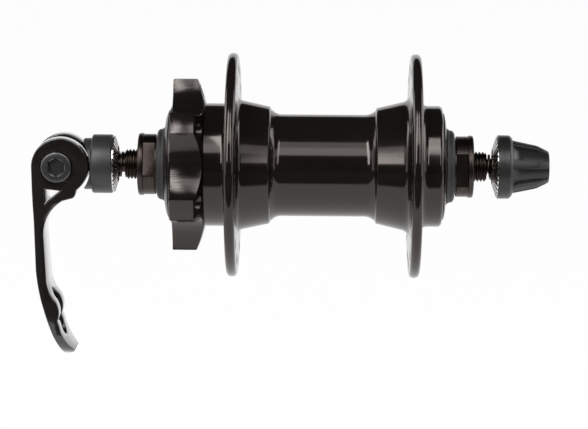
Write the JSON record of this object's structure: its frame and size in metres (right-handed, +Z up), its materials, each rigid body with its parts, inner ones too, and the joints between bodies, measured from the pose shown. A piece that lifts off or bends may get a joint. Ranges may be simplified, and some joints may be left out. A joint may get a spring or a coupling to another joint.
{
  "type": "disc brake hub",
  "caption": "Front bicycle hub with a lobed brake disc mount, two spoke flanges, cup-and-cone bearings and a quick release skewer.",
  "frame": {"origin": "on the axle, midway between the outer faces of the locknuts", "axes": "+Y along the axle towards the brake disc and the lever, which is the rider's left; +Z up; +X forward"},
  "size_m": [0.067, 0.1543, 0.0916],
  "materials": {
    "shell_black": "gloss",
    "cap_dark": "satin",
    "dark_steel": "satin",
    "steel": "satin",
    "bright_steel": "gloss",
    "seal_rubber": "matte",
    "moulded_black": "satin",
    "lever_black": "satin",
    "nylon": "matte",
    "cage_steel": "satin"
  },
  "bodies": {
    "axle_set": {"axle": "dark_steel", "left_cone": "steel", "left_cone_seal": "seal_rubber", "left_lock_washer": "steel", "left_locknut": "dark_steel", "right_cone": "steel", "right_cone_seal": "seal_rubber", "right_lock_washer": "steel", "right_locknut": "dark_steel"},
    "hub": {"hub_shell": "shell_black", "left_bearing_cup": "steel", "left_dust_cap": "shell_black", "right_bearing_cup": "steel", "right_dust_cap": "seal_rubber"},
    "left_ball_train": {"left_balls": "bright_steel", "left_ball_cage": "cage_steel"},
    "right_ball_train": {"right_balls": "bright_steel", "right_ball_cage": "cage_steel"},
    "cap": {"skewer_cap": "cap_dark", "cap_grip_ring": "bright_steel", "left_spring": "dark_steel"},
    "skewer": {"skewer_rod": "steel"},
    "lever": {"quick_release_lever": "lever_black", "pivot_screw": "cap_dark", "pivot_nut": "cap_dark"},
    "nut_carrier": {"right_spring": "dark_steel"},
    "nut": {"adjusting_nut": "moulded_black", "nut_grip_insert": "bright_steel", "nut_lock_ring": "nylon"}
  },
  "joints": [
    {"name": "hub_spin", "type": "hinge", "parent": "axle_set", "child": "hub", "pos_m": [0, 0, 0], "axis": [0, 1, 0], "continuous": true},
    {"name": "left_balls_orbit", "type": "hinge", "parent": "axle_set", "child": "left_ball_train", "pos_m": [0, 0.0364, 0], "axis": [0, 1, 0], "continuous": true},
    {"name": "right_balls_orbit", "type": "hinge", "parent": "axle_set", "child": "right_ball_train", "pos_m": [0, -0.0364, 0], "axis": [0, 1, 0], "continuous": true},
    {"name": "skewer_turn", "type": "hinge", "parent": "axle_set", "child": "cap", "pos_m": [0, 0.06, 0], "axis": [0, 1, 0], "continuous": true},
    {"name": "cam_lift", "type": "slide", "parent": "cap", "child": "skewer", "axis": [0, -1, 0], "range_m": [0, 0.0016]},
    {"name": "lever_pivot", "type": "hinge", "parent": "skewer", "child": "lever", "pos_m": [0, 0.0741, 0], "axis": [1, 0, 0], "range_deg": [0, 150]},
    {"name": "nut_travel", "type": "slide", "parent": "skewer", "child": "nut_carrier", "axis": [0, 1, 0], "range_m": [0, 0.0016], "deforming": ["right_spring"]},
    {"name": "nut_turn", "type": "hinge", "parent": "nut_carrier", "child": "nut", "pos_m": [0, -0.065, 0], "axis": [0, 1, 0], "range_deg": [0, 720]}
  ],
  "couplings": [
    {"joint": "left_balls_orbit", "follows": "hub_spin", "ratio": 0.6046},
    {"joint": "right_balls_orbit", "follows": "hub_spin", "ratio": 0.6046},
    {"joint": "lever_pivot", "follows": "cam_lift", "rad_per_m": 1636.2},
    {"joint": "nut_turn", "follows": "nut_travel", "rad_per_m": 7854}
  ]
}
